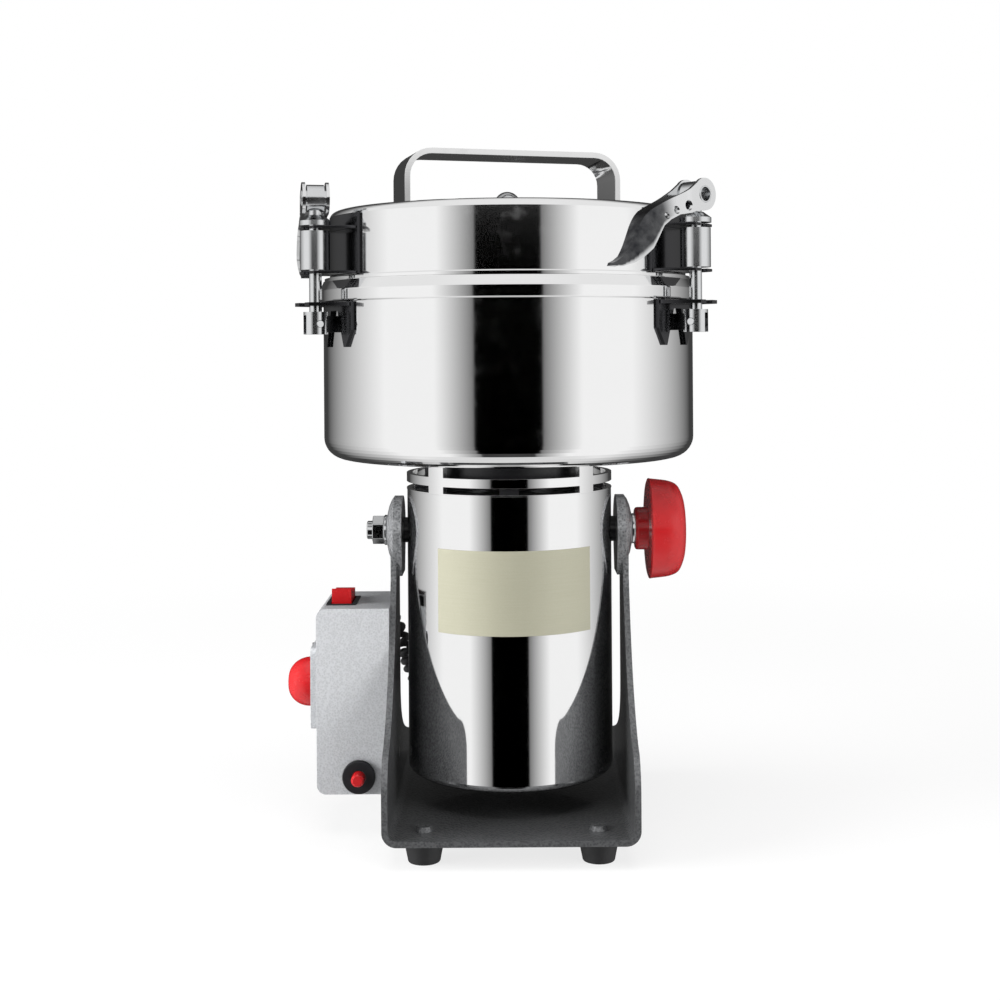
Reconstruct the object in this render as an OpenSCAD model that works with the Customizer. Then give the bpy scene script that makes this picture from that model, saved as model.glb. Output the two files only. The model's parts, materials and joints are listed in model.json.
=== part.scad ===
// Electric grain mill, swing type: a stainless grinding bowl on a motor that tilts between two arms.
// Millimetres. +Z is up and -Y is the front. The origin is on the surface that the mill stands on,
// under the middle of the mill's outline. The axis of the motor and of the bowl is at axis_at.

/* [Base] */
// Width over the two arms
base_w = 103; // [100:0.5:108]
// Length of the floor plate, front to back
base_d = 134; // [120:1:160]
// Thickness of the plate that the base is bent from
plate_t = 2.5; // [2.5:0.1:3]
// Height of a rubber foot
foot_h = 9.7; // [8:0.1:12]
// Height of the tilt axis
pivot_z = 127.5; // [126:0.5:130]
// Radius of the boss at the top of each arm
boss_r = 15; // [12:0.5:15]

/* [Motor] */
// Outer radius of the motor sleeve
sleeve_r = 44.7; // [44:0.1:45]
// Bottom of the motor sleeve
sleeve_z = 24; // [24:0.5:28]
// Top of the motor sleeve
sleeve_top = 146; // [145:0.5:146]
// Diameter of the motor shaft
shaft_d = 8; // [8:0.5:8]

/* [Bowl and lid] */
// Outer radius of the bowl
bowl_r = 80.6; // [80:0.1:81]
// Underside of the bowl
bowl_z = 160; // [160:0.5:161]
// Rim of the bowl
rim_z = 236; // [235:0.5:236]
// Outer radius of the lid's side wall
lid_r = 77.7; // [76:0.1:78]
// Top of the lid
lid_top = 266; // [265:0.5:266]
// Radius of the rounded edge round the lid's top
lid_edge = 3; // [3:0.5:6]

/* [Handle] */
// Width over the legs of the lid's handle
handle_l = 97; // [92:1:100]
// Width of the handle's strap
handle_w = 24; // [18:0.5:24]
// Height of the top of the handle
handle_top = 292.7; // [290:0.1:295]
// Turn of the handle on the lid
handle_turn = 16; // [0:1:20]

/* [Clamps] */
// Distance from the bowl's axis to a clamp rod
rod_at = 90; // [90:0.1:91]
// Diameter of a clamp rod
rod_d = 5.2; // [4.8:0.1:5.2]
// Height of the pin that a clamp rod swings on
rod_pin_z = 217.5; // [217:0.5:218]
// Height of the pin that a clamp lever turns on
eye_z = 269.2; // [269.2:0.1:270]

/* [Control box] */
// Width of the control box, away from the arm
box_w = 31; // [28:0.5:32]
// Depth of the control box, front to back
box_d = 46; // [44:1:48]
// Bottom of the control box
box_z = 18; // [17:0.5:20]
// Top of the control box
box_top = 96.8; // [95:0.1:98]
// Radius of the timer knob
timer_r = 10.7; // [9:0.1:12]

/* [Hand knob] */
// Radius of the red hand knob
knob_r = 22; // [20:0.5:24]

/* [Hidden] */
$fn = 96;
e = 0.01;
axis_at = [6.1, -4.8];               // the axis of the motor and of the bowl
arm_x = base_w / 2;                  // outer face of an arm
arm_in = arm_x - plate_t;            // inner face of an arm
floor_t = 2.5;                       // thickness of the floor plate
floor_z = foot_h;
floor_top = floor_z + floor_t;
foot_at = [35.3, 53];
foot_nut_z = 3;
boss_in = 46.6;                      // inner face of an arm's boss
boss_out = 53.5;
stud_d = 8;                          // trunnion studs on the motor
run = 0.05;                          // radial clearance of a running fit
sleeve_t = 0.8;
sleeve_in = sleeve_r - sleeve_t;
frame_z = 138;                       // underside of the motor's top end frame
bearing_r = 11;
bearing_h = 7;
plate_w = 63.8;                      // name plate, across the chord
plate_z = [88.7, 123.7];
plate_turn = 3.4;
core_z = [66, 104];                  // bottom and top of the laminated cores
core_in = 21.4;
armature_r = 20.8;
seat_r = 34;
bowl_t = 1.2;
bowl_floor = bowl_z + 3;
bowl_in = bowl_r - bowl_t;
bowl_edge = 9;
bead = [226.8, 232.8];
bead_r = 82.3;
seal_r = 12.5;
lid_t = 1.2;
handle_t = 2.4;                      // thickness of the handle's strap
lid_z = 237;                         // lower edge of the lid's side wall
skirt_z = 228.5;                     // lower edge of the part of the lid inside the bowl
blade_z = [170, 178, 188];
rod_r = rod_d / 2;
barrel_r = 5;                        // slotted foot of a clamp rod
eye_r = 6.6;                         // round end of a clamp lever
eye_w = 7;                           // width of a clamp rod's eye
eye_pin_r = 3.5;
sleeve_rod_r = 6.3;                  // sleeve of a clamp rod, between the lid's two plates
cap_rod_r = 6.6;                     // domed collar above the upper plate
fork_z = [238, 256.4];               // undersides of the two lid plates that a rod passes
fork_t = 1.2;
fork_x = rod_at + 4;                 // outer edge of those plates
shelf_z = 224.8;                     // underside of the bowl plate that a rod passes
shelf_x = rod_at + 6;
clamp_turn = [-31.5, 208.5, 88.5];   // plan direction of the right, left and rear clamp
lever_turn = -106.2;                 // plan direction of a lever, from that of its clamp
lever_w = 11;                        // width of a lever over its two cheeks
lever_t = 1.3;
box_out = arm_x + box_w;
box_wall = 1.6;
box_r = 4;                           // rounded edges of the control box
timer_z = 61.2;
timer_face = box_out + 3.4;          // outer face of the timer's plate
rocker_at = [-72.8, -3];
reset_at = [-64.5, 25.7];
box_screw_z = [30, 84];
cord_r = 4;
cord_gland_at = [-57.5, 88];
motor_gland_z = 48;
motor_gland_turn = 123;

// ---- shared shapes ----

// A cylinder along X from x0 to x1
module along_x(x0, x1, r, y = 0, z = 0)
    translate([x0, y, z]) rotate([0, 90, 0]) cylinder(h = x1 - x0, r = r);

// A cylinder along Y from y0 to y1
module along_y(y0, y1, r, x = 0, z = 0)
    translate([x, y0, z]) rotate([-90, 0, 0]) cylinder(h = y1 - y0, r = r);

module ring(z0, z1, r_out, r_in)
    difference() {
        translate([0, 0, z0]) cylinder(h = z1 - z0, r = r_out);
        translate([0, 0, z0 - 1]) cylinder(h = z1 - z0 + 2, r = r_in);
    }

// A flat rectangle with round corners, centred
module rounded(w, d, r) {
    square([w - 2 * r, d], center = true);
    square([w, d - 2 * r], center = true);
    for (x = [-1, 1], y = [-1, 1]) translate([x * (w / 2 - r), y * (d / 2 - r)]) circle(r);
}

// Points of a round corner about c, from angle a0 to a1
function arc(c, r, a0, a1, n = 8) =
    [for (i = [0:n]) let (a = a0 + (a1 - a0) * i / n) c + r * [cos(a), sin(a)]];

// Points of a cubic curve with four control points
function curve(p, n = 10) =
    [for (i = [0:n]) let (t = i / n)
        pow(1 - t, 3) * p[0] + 3 * pow(1 - t, 2) * t * p[1] + 3 * (1 - t) * t * t * p[2] + pow(t, 3) * p[3]];

function mirrored(points) =
    [for (i = [len(points) - 1:-1:0]) [-points[i].x, points[i].y]];

module both_sides() for (s = [0, 1]) mirror([s, 0, 0]) children();
module at_feet() for (x = [-1, 1], y = [-1, 1]) translate([x * foot_at.x, y * foot_at.y, 0]) children();

// ---- base ----

// Side view of an arm: its front edge sweeps out to a wide foot, and its back edge drops to a low one
module arm_outline() {
    front = concat([[base_d / 2, floor_z]], arc([base_d / 2 - 18, 30], 18, 0, 52, 6),
                   curve([[54, 46.5], [34, 58], [20, 80], [11.5, 108]], 12), [[11.5, pivot_z]]);
    back = concat([[base_d / 2, floor_z]], arc([base_d / 2 - 6, 19], 6, 0, 75, 4),
                  curve([[62.5, 24.8], [30, 33.5], [9.5, 38], [9.5, 60]], 10), [[9.5, pivot_z]]);
    polygon(concat(back, mirrored(front)));
}

// The head of an arm: a drop-shaped plate with a dome round the stud
module arm_head() translate([0, 0, pivot_z]) {
    translate([boss_in, 0, 0]) rotate([90, 0, 90]) linear_extrude(boss_out - boss_in - 3.2) {
        circle(boss_r);
        polygon([[-boss_r + 0.8, -4.9], [-9, -19], [9, -19], [boss_r - 0.8, -4.9]]);
    }
    rotate([0, 90, 0]) rotate_extrude()
        polygon([[0, boss_in], [boss_r - 1, boss_in], [boss_r - 1, boss_out - 3.2], [boss_r, boss_out - 3.2],
                 [boss_r - 1.8, boss_out - 1.9], [boss_r - 4.5, boss_out - 0.8], [7, boss_out],
                 [0, boss_out]]);
}

module base_frame() color("dimgray") difference() {
    union() {
        intersection() {
            translate([0, base_d / 2, 0]) rotate([90, 0, 0]) linear_extrude(base_d) difference() {
                translate([0, 100]) rounded(base_w, 200 - 2 * floor_z, 6);
                translate([0, 150 + floor_top]) rounded(2 * arm_in, 300, 3.5);
            }
            translate([-arm_x, 0, 0]) rotate([90, 0, 90]) linear_extrude(base_w) arm_outline();
        }
        both_sides() arm_head();
    }
    both_sides() along_x(boss_in - 1, boss_out + 1, stud_d / 2 + run, 0, pivot_z);
    at_feet() translate([0, 0, floor_z - 1]) cylinder(h = floor_t + 2, r = 2);
    for (z = box_screw_z) along_x(-arm_x - 1, -arm_in + 1, 2, 0, z);
}

module rubber_feet() color("#161616") at_feet() difference() {
    cylinder(h = foot_h, r1 = 6.5, r2 = 8.4);
    translate([0, 0, -1]) cylinder(h = foot_h + 2, r = 2);
    translate([0, 0, -1]) cylinder(h = 1 + foot_nut_z + 1, r = 4.2);
}

module foot_screws() color("silver") at_feet() {
    translate([0, 0, foot_nut_z]) cylinder(h = floor_top - foot_nut_z, r = 2);
    difference() {
        translate([0, 0, floor_top]) cylinder(h = 2, r1 = 3.8, r2 = 3);
        translate([-3, -0.5, floor_top + 1.1]) cube([6, 1, 2]);
    }
    translate([0, 0, foot_nut_z]) cylinder(h = 1, r = 3.6, $fn = 6);
}

// ---- tilt joint ----

module pivot_studs() color("silver") {
    along_x(36, 62.5, stud_d / 2, 0, pivot_z);
    along_x(-62.5, -36, stud_d / 2, 0, pivot_z);
}

module pivot_bushes() color("#141414") both_sides() difference() {
    along_x(40, boss_in - 0.15, 5.5, 0, pivot_z);
    along_x(39, boss_in + 1, stud_d / 2, 0, pivot_z);
    cylinder(h = 200, r = sleeve_r);
}

// A washer at each boss, and the nut on the left stud
module pivot_fasteners() color("silver") {
    both_sides() difference() {
        along_x(boss_out + 0.15, boss_out + 1.35, 6.6, 0, pivot_z);
        along_x(boss_out, boss_out + 2, stud_d / 2 + 0.02, 0, pivot_z);
    }
    difference() {
        translate([-60, 0, pivot_z]) rotate([0, 90, 0]) cylinder(h = 5.1, r = 6.3, $fn = 6);
        along_x(-61, -54, stud_d / 2, 0, pivot_z);
    }
}

module lock_knob() color("#d8232a") difference() {
    union() {
        along_x(boss_out + 1.5, 61, 9.3, 0, pivot_z);
        translate([0, 0, pivot_z]) rotate([0, 90, 0]) rotate_extrude()
            polygon([[0, 60.7], [knob_r - 1.4, 60.7], [knob_r, 61.2], [knob_r - 0.2, 62], [knob_r - 1, 69],
                     [knob_r - 1.5, 71.5], [knob_r - 3, 73.8], [knob_r - 6, 75.6], [knob_r - 11, 76.6],
                     [0, 76.8]]);
    }
    along_x(boss_out, 68, 6, 0, pivot_z);
}

module knob_insert() color("goldenrod") difference() {
    along_x(boss_out + 1.5, 68, 6, 0, pivot_z);
    along_x(boss_out, 63.2, stud_d / 2 + run, 0, pivot_z);
}

// ---- control box ----

// Front view of the box shell, square where it meets the arm
module box_outline(gap = 0) {
    w = box_w - 2 * gap;
    h = box_top - box_z - 2 * gap;
    translate([-arm_x - box_w / 2, (box_z + box_top) / 2]) {
        rounded(w, h, box_r - gap);
        translate([0, -h / 2]) square([w / 2, h]);
    }
}

module box_shell() color("#b9bcc0") difference() {
    translate([0, box_d / 2, 0]) rotate([90, 0, 0]) linear_extrude(box_d) box_outline();
    translate([0, box_d / 2 - box_wall, 0]) rotate([90, 0, 0])
        linear_extrude(box_d - 2 * box_wall) box_outline(box_wall);
    translate([-arm_x - box_wall, -box_d / 2 + box_wall, box_z + box_wall])
        cube([9, box_d - 2 * box_wall, box_top - box_z - 2 * box_wall]);
    translate([rocker_at.x - 6.1, rocker_at.y - 10.6, box_top - 5]) cube([12.2, 21.2, 9]);
    along_y(-box_d / 2 - 1, -15, 5.2, reset_at.x, reset_at.y);
    along_y(15, box_d / 2 + 1, 6.5, -67, 30);
    along_y(15, box_d / 2 + 1, 3.5, cord_gland_at.x, cord_gland_at.y);
    along_x(-box_out - 1, -box_out + 3, 4.2, 0, timer_z);
    for (z = [-14.5, 14.5]) along_x(-box_out - 1, -box_out + 3, 1.5, 0, timer_z + z);
}

module box_cover() color("#8f9296") difference() {
    translate([-arm_x - box_wall, -box_d / 2 + box_wall + 0.1, box_z + box_wall + 0.1])
        cube([box_wall, box_d - 2 * box_wall - 0.2, box_top - box_z - 2 * box_wall - 0.2]);
    for (z = box_screw_z) along_x(-arm_x - 3, -arm_x + 1, 2, 0, z);
}

// Two screws hold the cover to the arm, and two hold the timer's plate
module box_screws() color("silver") {
    for (z = box_screw_z) {
        along_x(-arm_x - box_wall, -arm_in, 2, 0, z);
        along_x(-arm_x - box_wall - 2, -arm_x - box_wall, 3.6, 0, z);
    }
    for (z = [-14.5, 14.5]) {
        along_x(-timer_face, -box_out + box_wall + 1, 1.5, 0, timer_z + z);
        along_x(-timer_face - 1, -timer_face, 2.4, 0, timer_z + z);
    }
}

module timer_plate() color("#c9ccd0") difference() {
    translate([-timer_face, 0, timer_z]) rotate([90, 0, 90])
        linear_extrude(timer_face - box_out) rounded(32, 35, 3);
    along_x(-timer_face - 1, -box_out + 1, 4.2, 0, timer_z);
    for (z = [-14.5, 14.5]) along_x(-timer_face - 1, -box_out + 1, 1.5, 0, timer_z + z);
}

module timer_body() color("#d9d6cc") difference() {
    translate([-box_out + box_wall + 1.2, -14, timer_z - 13]) cube([19, 28, 26]);
    along_x(-box_out, -box_out + 12, 3 + run, 0, timer_z);
}

module timer_spindle() color("silver")
    along_x(-timer_face - 6, -box_out + 11, 3, 0, timer_z);

module timer_knob() color("#e0141c") difference() {
    translate([-timer_face, 0, timer_z]) rotate([0, -90, 0]) rotate_extrude()
        polygon(concat([[0, 0.6], [timer_r, 0.6]],
                       [for (a = [0:11.25:78.75]) [timer_r * cos(a), 2.6 + 9.2 * sin(a)]], [[0, 11.8]]));
    along_x(-timer_face - 6, -timer_face + 1, 3, 0, timer_z);
}

module rocker_housing() color("#1a1a1a") translate([rocker_at.x, rocker_at.y, 0]) difference() {
    union() {
        translate([0, 0, box_top]) linear_extrude(0.5) rounded(13, 22.4, 0.8);
        translate([-6, -10.5, 82]) cube([12, 21, box_top - 82]);
    }
    translate([-4.8, -9.7, 85]) cube([9.6, 19.4, 20]);
    along_x(-5.5, 5.5, 1.55, 0, 93);
}

// The rocker at rest is pressed at its rear end
module rocker_button() color("#e0141c") translate([rocker_at.x, rocker_at.y, 93]) {
    rotate([90, 0, 90]) translate([0, 0, -4.2]) linear_extrude(8.4)
        polygon([[-8.2, 10.6], [0, 7.8], [8.8, 8.4], [8.9, 3], [0, -3.4], [-8, 3.6]]);
    along_x(-5.4, 5.4, 1.5);
}

module breaker_body() color("#232323") difference() {
    union() {
        along_y(-box_d / 2 - 2.6, -box_d / 2 - e, 7, reset_at.x, reset_at.y);
        along_y(-box_d / 2 - 1, -box_d / 2 + 9, 5, reset_at.x, reset_at.y);
        along_y(-box_d / 2 + 9, -box_d / 2 + 30, 5.8, reset_at.x, reset_at.y);
    }
    along_y(-box_d / 2 - 4, -box_d / 2 + 14, 2.95, reset_at.x, reset_at.y);
}

module breaker_nut() color("silver") difference() {
    translate([reset_at.x, -box_d / 2 + box_wall, reset_at.y]) rotate([-90, 0, 0])
        cylinder(h = 3, r = 6.9, $fn = 6);
    along_y(-box_d / 2, -box_d / 2 + 9, 5, reset_at.x, reset_at.y);
}

module reset_button() color("#e0141c") {
    along_y(-box_d / 2 - 6.6, -box_d / 2 + 11, 2.85, reset_at.x, reset_at.y);
    translate([reset_at.x, -box_d / 2 - 6.6, reset_at.y]) rotate([90, 0, 0])
        cylinder(h = 0.8, r1 = 2.85, r2 = 2.1);
}

// The mains lead's gland, and the smaller one of the curly cord
module box_glands() color("#1a1a1a") {
    difference() {
        union() {
            along_y(box_d / 2 - 5, box_d / 2 + e, 6.5, -67, 30);
            along_y(box_d / 2, box_d / 2 + 3, 8.5, -67, 30);
            translate([-67, box_d / 2 + 3, 30]) rotate([-90, 0, 0]) cylinder(h = 10, r1 = 7, r2 = 5.4);
        }
        along_y(box_d / 2 - 6, box_d / 2 + 15, 3.75, -67, 30);
    }
    along_y(box_d / 2 - 3, box_d / 2 + 3.6, 3.5, cord_gland_at.x, cord_gland_at.y);
    along_y(box_d / 2, box_d / 2 + 1.5, 5, cord_gland_at.x, cord_gland_at.y);
}

// ---- curly cord from the box to the motor, behind the left arm ----

cord_path = concat(
    [[-57.5, 26.6, 88], [-57.5, 31, 88], [-54, 34, 83], [-49, 34, 76], [-46, 35, 68], [-44.2, 36, 60],
     [-42.5, 38, 54], [-38, 41, 50], [-32, 44, 48.3]],
    [for (r = [sleeve_r + 7, sleeve_r + 3.4])
        [r * cos(motor_gland_turn), r * sin(motor_gland_turn), motor_gland_z]]);

function cross_section(p, d, r, n) =
    let (f = d / norm(d), u = cross(f, [0, 0, 1]) / norm(cross(f, [0, 0, 1])), v = cross(u, f))
    [for (i = [0:n - 1]) p + r * (cos(360 * i / n) * u + sin(360 * i / n) * v)];

module tube(path, r, n = 10) {
    last = len(path) - 1;
    dirs = [for (i = [0:last]) path[min(i + 1, last)] - path[max(i - 1, 0)]];
    points = [for (i = [0:last]) each cross_section(path[i], dirs[i], r, n)];
    sides = [for (k = [0:last - 1], i = [0:n - 1])
        [k * n + i, k * n + (i + 1) % n, (k + 1) * n + (i + 1) % n, (k + 1) * n + i]];
    polyhedron(points, concat(sides, [[for (i = [n - 1:-1:0]) i], [for (i = [0:n - 1]) last * n + i]]), 4);
}

module curly_cord() color("#151515") tube(cord_path, cord_r);

module motor_cord_gland() color("#151515")
    translate([0, 0, motor_gland_z]) rotate([0, 0, motor_gland_turn]) {
        along_x(sleeve_r - 3, sleeve_r + 3.4, 3.5);
        difference() {
            along_x(sleeve_r - 2, sleeve_r + 1.5, 5);
            translate([0, 0, -10]) cylinder(h = 20, r = sleeve_r);
        }
    }

// ---- motor ----

module motor_sleeve() color("#d5d8db") difference() {
    rotate_extrude() polygon(concat(
        [[sleeve_in, sleeve_top], [sleeve_in, sleeve_z + 3]],
        arc([sleeve_r - 3, sleeve_z + 3], 2.2, 0, -90, 5),
        [[sleeve_r - 4, sleeve_z + 0.8], [sleeve_r - 4, sleeve_z]],
        arc([sleeve_r - 3, sleeve_z + 3], 3, -90, 0, 6), [[sleeve_r, sleeve_top]]));
    both_sides() along_x(30, 60, stud_d / 2, 0, pivot_z);
    translate([0, 0, motor_gland_z]) rotate([0, 0, motor_gland_turn])
        along_x(sleeve_r - 5, sleeve_r + 5, 3.5);
}

module sleeve_cap() color("#101010") difference() {
    translate([0, 0, sleeve_z + 0.8]) cylinder(h = 2, r = sleeve_r - 3.6);
    for (a = [0:30:330]) rotate([0, 0, a]) translate([20, -1.6, sleeve_z - 1]) cube([14, 3.2, 6]);
}

// A cast disc with a seat for a bearing and four round windows for air
module end_frame(z, t, r) difference() {
    translate([0, 0, z]) cylinder(h = t, r = r);
    translate([0, 0, z - 1]) cylinder(h = t + 2, r = bearing_r);
    for (a = [45:90:315]) rotate([0, 0, a]) translate([27, 0, z - 1]) cylinder(h = t + 2, r = 10);
}

// The upper frame has a lug on each side that a trunnion stud screws into
module end_frames() color("#8c8f93") {
    end_frame(30, 9, sleeve_in - 0.3);
    difference() {
        union() {
            end_frame(frame_z - 3, sleeve_top - frame_z + 3, sleeve_in);
            intersection() {
                both_sides() translate([36, -9, 119]) cube([20, 18, 24]);
                cylinder(h = 200, r = sleeve_in - 1.5);
            }
        }
        both_sides() along_x(30, 60, stud_d / 2, 0, pivot_z);
    }
}

module ball_bearings() color("silver") {
    ring(31, 31 + bearing_h, bearing_r, shaft_d / 2 + 0.03);
    ring(frame_z, frame_z + bearing_h, bearing_r, shaft_d / 2 + 0.03);
}

module coil_windows(grow = 0) for (a = [-1, 1], b = [-1, 1])
    translate([a * 25 - 5 - grow, b * 17 - 7 - grow, core_z[0] - 1])
        cube([10 + 2 * grow, 14 + 2 * grow, core_z[1] - core_z[0] + 2]);

module stator_core() color("#6f7276") difference() {
    ring(core_z[0], core_z[1], sleeve_in - 0.05, core_in);
    coil_windows(0.1);
}

// Two coils, each a loop through two windows and round the ends of the core
module field_coils() color("#b4652a") for (s = [-1, 1]) difference() {
    translate([s * 25 - 5, -24, core_z[0] - 8]) cube([10, 48, core_z[1] - core_z[0] + 16]);
    translate([s * 25 - 6, -10, core_z[0]]) cube([12, 20, core_z[1] - core_z[0]]);
}

module brush_holders() color("#b08d3c") for (s = [-1, 1]) difference() {
    translate([-5, s * 27 - 14, 44]) cube([10, 28, 10]);
    translate([-3, s * 27 - 15, 46]) cube([6, 30, 6]);
}

module carbon_brushes() color("#2a2a2a") for (s = [-1, 1])
    translate([-2.8, s > 0 ? 11.2 : -29.2, 46.2]) cube([5.6, 18, 5.6]);

module motor_shaft() color("silver") {
    translate([0, 0, 28.5]) cylinder(h = 199 - 28.5, r = shaft_d / 2);
}

module armature_core() color("#5c5f63") difference() {
    ring(core_z[0] + 1, core_z[1] - 1, armature_r, shaft_d / 2);
    for (a = [0:30:330]) rotate([0, 0, a]) translate([armature_r - 4, -1, core_z[0]]) cube([5, 2, 60]);
}

module armature_windings() color("#a65a24") {
    ring(core_z[0] - 8, core_z[0] + 1, 18, shaft_d / 2);
    ring(core_z[1] - 1, core_z[1] + 8, 18, shaft_d / 2);
}

module commutator() color("#b87333") difference() {
    ring(42, 57, 11, shaft_d / 2);
    for (a = [0:15:345]) rotate([0, 0, a]) translate([9.5, -0.25, 41]) cube([3, 0.5, 20]);
}

module cooling_fan() color("#e6e2d4") {
    ring(114, 128, 8, shaft_d / 2);
    ring(114, 115.6, 35, shaft_d / 2);
    for (a = [0:40:320]) rotate([0, 0, a]) translate([7.5, -0.9, 115]) cube([26, 1.8, 11]);
}

// ---- neck and bowl ----

module neck_ring() color("#c9ccd0") intersection() {
    ring(sleeve_top, bowl_z, sleeve_r + 0.2, sleeve_r - 2.2);
    union() {
        translate([0, 0, 149.4]) cylinder(h = 3.8, r = 60);
        translate([0, 0, sleeve_top]) cylinder(h = 0.6, r = 60);
        translate([0, 0, bowl_z - 0.6]) cylinder(h = 0.6, r = 60);
        for (a = [46.6:90:316.6])
            rotate([0, 0, a]) translate([30, -4.35, sleeve_top]) cube([20, 8.7, 20]);
    }
}

module bowl_seat() color("#1c1d1f") difference() {
    union() {
        translate([0, 0, sleeve_top]) cylinder(h = bowl_z - sleeve_top, r = 18);
        translate([0, 0, bowl_z - 4]) cylinder(h = 4, r = seat_r);
        translate([0, 0, sleeve_top + 5]) cylinder(h = bowl_z - sleeve_top - 8, r = seat_r + 3);
        for (a = [0:90:270]) rotate([0, 0, a]) translate([0, -4, sleeve_top]) cube([41, 8, 5]);
    }
    translate([0, 0, 140]) cylinder(h = 30, r = shaft_d / 2 + 1);
    translate([0, 0, bowl_z - 2]) cylinder(h = 5, r = seal_r);
    for (a = [45:90:315]) rotate([0, 0, a]) translate([26, 0, bowl_z - 5]) cylinder(h = 6, r = 2);
}

module bowl() color("#d9dcdf") difference() {
    rotate_extrude() polygon(concat(
        [[0, bowl_z]], arc([bowl_r - bowl_edge, bowl_z + bowl_edge], bowl_edge, -90, 0, 10),
        [[bowl_r, bead[0]]], arc([bead_r - 1, bead[0] + 1], 1, -90, 0, 4),
        arc([bead_r - 1, bead[1] - 1], 1, 0, 28, 2),
        [[bowl_r, rim_z - 0.2], [bowl_r, rim_z], [bowl_in, rim_z]],
        arc([bowl_in - 7, bowl_floor + 7], 7, 0, -90, 10), [[0, bowl_floor]]));
    translate([0, 0, bowl_z - 1]) cylinder(h = 6, r = seal_r);
    for (a = [45:90:315]) rotate([0, 0, a]) translate([26, 0, bowl_z - 1]) cylinder(h = 6, r = 2);
}

module bowl_screws() color("silver") for (a = [45:90:315]) rotate([0, 0, a]) translate([26, 0, 0]) {
    translate([0, 0, bowl_z - 4]) cylinder(h = 7, r = 2);
    difference() {
        translate([0, 0, bowl_floor]) cylinder(h = 2.4, r1 = 4, r2 = 3.2);
        translate([0, 0, bowl_floor + 1.2]) cylinder(h = 3, r = 1.7, $fn = 6);
    }
}

module shaft_seal() color("#26262a") ring(bowl_z - 2, bowl_floor + 2, seal_r, shaft_d / 2 + run);

// A flat blade with two long arms whose cutting edges are ground to a slope
module blade(reach, width, turn) rotate([0, 0, turn]) difference() {
    linear_extrude(2.4) difference() {
        union() {
            circle(10);
            for (a = [0, 180]) rotate(a)
                polygon([[0, -width / 2], [reach - 8, -width / 2], [reach, width / 4],
                         [reach - 6, width / 2], [0, width / 2]]);
        }
        circle(shaft_d / 2);
    }
    for (a = [0, 180]) rotate([0, 0, a]) translate([12, -width / 2, 0.5]) rotate([32, 0, 0])
        cube([reach, 8, 4]);
}

module blades() color("#c4c7ca") {
    translate([0, 0, blade_z[0]]) blade(70, 15, 25);
    translate([0, 0, blade_z[1]]) blade(62, 14, 115);
    translate([0, 0, blade_z[2]]) blade(54, 13, 70);
}

// Spacers under each blade, and the nut on the shaft's end
module blade_fasteners() color("silver") {
    ring(bowl_floor + 2.3, blade_z[0], 7, shaft_d / 2);
    ring(blade_z[0] + 2.4, blade_z[1], 7, shaft_d / 2);
    ring(blade_z[1] + 2.4, blade_z[2], 7, shaft_d / 2);
    difference() {
        translate([0, 0, blade_z[2] + 2.4]) cylinder(h = 6, r = 7.2, $fn = 6);
        translate([0, 0, blade_z[2]]) cylinder(h = 12, r = shaft_d / 2);
    }
}

// ---- lid ----

module lid() color("#dcdfe2") difference() {
    rotate_extrude() polygon(concat(
        [[0, lid_top]], arc([lid_r - lid_edge, lid_top - lid_edge], lid_edge, 90, 0, 8),
        [[lid_r, lid_z + 0.9], [lid_r + 2.3, lid_z + 0.3], [lid_r + 2.3, rim_z + 0.1],
         [lid_r - 0.6, rim_z + 0.1], [lid_r - 0.6, skirt_z], [lid_r - lid_t, skirt_z]],
        arc([lid_r - lid_edge, lid_top - lid_edge], lid_edge - lid_t, 0, 90, 8), [[0, lid_top - lid_t]]));
    translate([0, 0, lid_top - 5]) cylinder(h = 8, r = 3);
    at_handle_feet() translate([0, 0, lid_top - 4]) cylinder(h = 8, r = 2.5);
}

module lid_gasket() color("#ecebe6") ring(skirt_z + 1, rim_z - 0.6, bowl_in - 0.02, lid_r - 0.6);

// The dome nut and bolt in the middle, and the two screws of the handle
module lid_fasteners() color("silver") {
    translate([0, 0, lid_top]) cylinder(h = 4.6, r = 6.6, $fn = 6);
    translate([0, 0, lid_top + 4]) intersection() {
        cylinder(h = 6, r = 5.6);
        sphere(r = 5.8);
    }
    translate([0, 0, lid_top - 6]) cylinder(h = 6, r = 3);
    translate([0, 0, lid_top - lid_t - 3]) cylinder(h = 3, r = 5.6, $fn = 6);
    at_handle_feet() {
        translate([0, 0, lid_top - 5]) cylinder(h = 5 + handle_t, r = 2.5);
        translate([0, 0, lid_top + handle_t]) cylinder(h = 2, r1 = 4.2, r2 = 3.4);
        translate([0, 0, lid_top - lid_t - 3]) cylinder(h = 3, r = 4.4, $fn = 6);
    }
}

module at_handle_feet() rotate([0, 0, handle_turn]) for (x = [-1, 1])
    translate([x * (handle_l / 2 - 16), 0, 0]) children();

// Front view of the handle: wide round corners at the top and tight ones at the bottom
module handle_outline(gap) {
    w = handle_l / 2 - gap;
    h = handle_top - lid_top - gap;
    polygon(concat(arc([w - 12 + gap, h - 12 + gap], 12 - gap, 0, 90),
                   arc([-w + 12 - gap, h - 12 + gap], 12 - gap, 90, 180),
                   arc([-w + 3 - gap, 3], 3 - gap, 180, 270, 4),
                   arc([w - 3 + gap, 3], 3 - gap, 270, 360, 4)));
}

// A strap bent into a U, with its feet turned in under it
module handle() color("#cfd2d5") difference() {
    rotate([0, 0, handle_turn]) translate([0, handle_w / 2, lid_top]) rotate([90, 0, 0])
        linear_extrude(handle_w) difference() {
            handle_outline(0);
            handle_outline(handle_t);
            translate([-handle_l / 2 + 22, -1]) square([handle_l - 44, 6]);
        }
    at_handle_feet() translate([0, 0, lid_top - 1]) cylinder(h = 5, r = 2.5);
}

// ---- name plate ----

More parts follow.
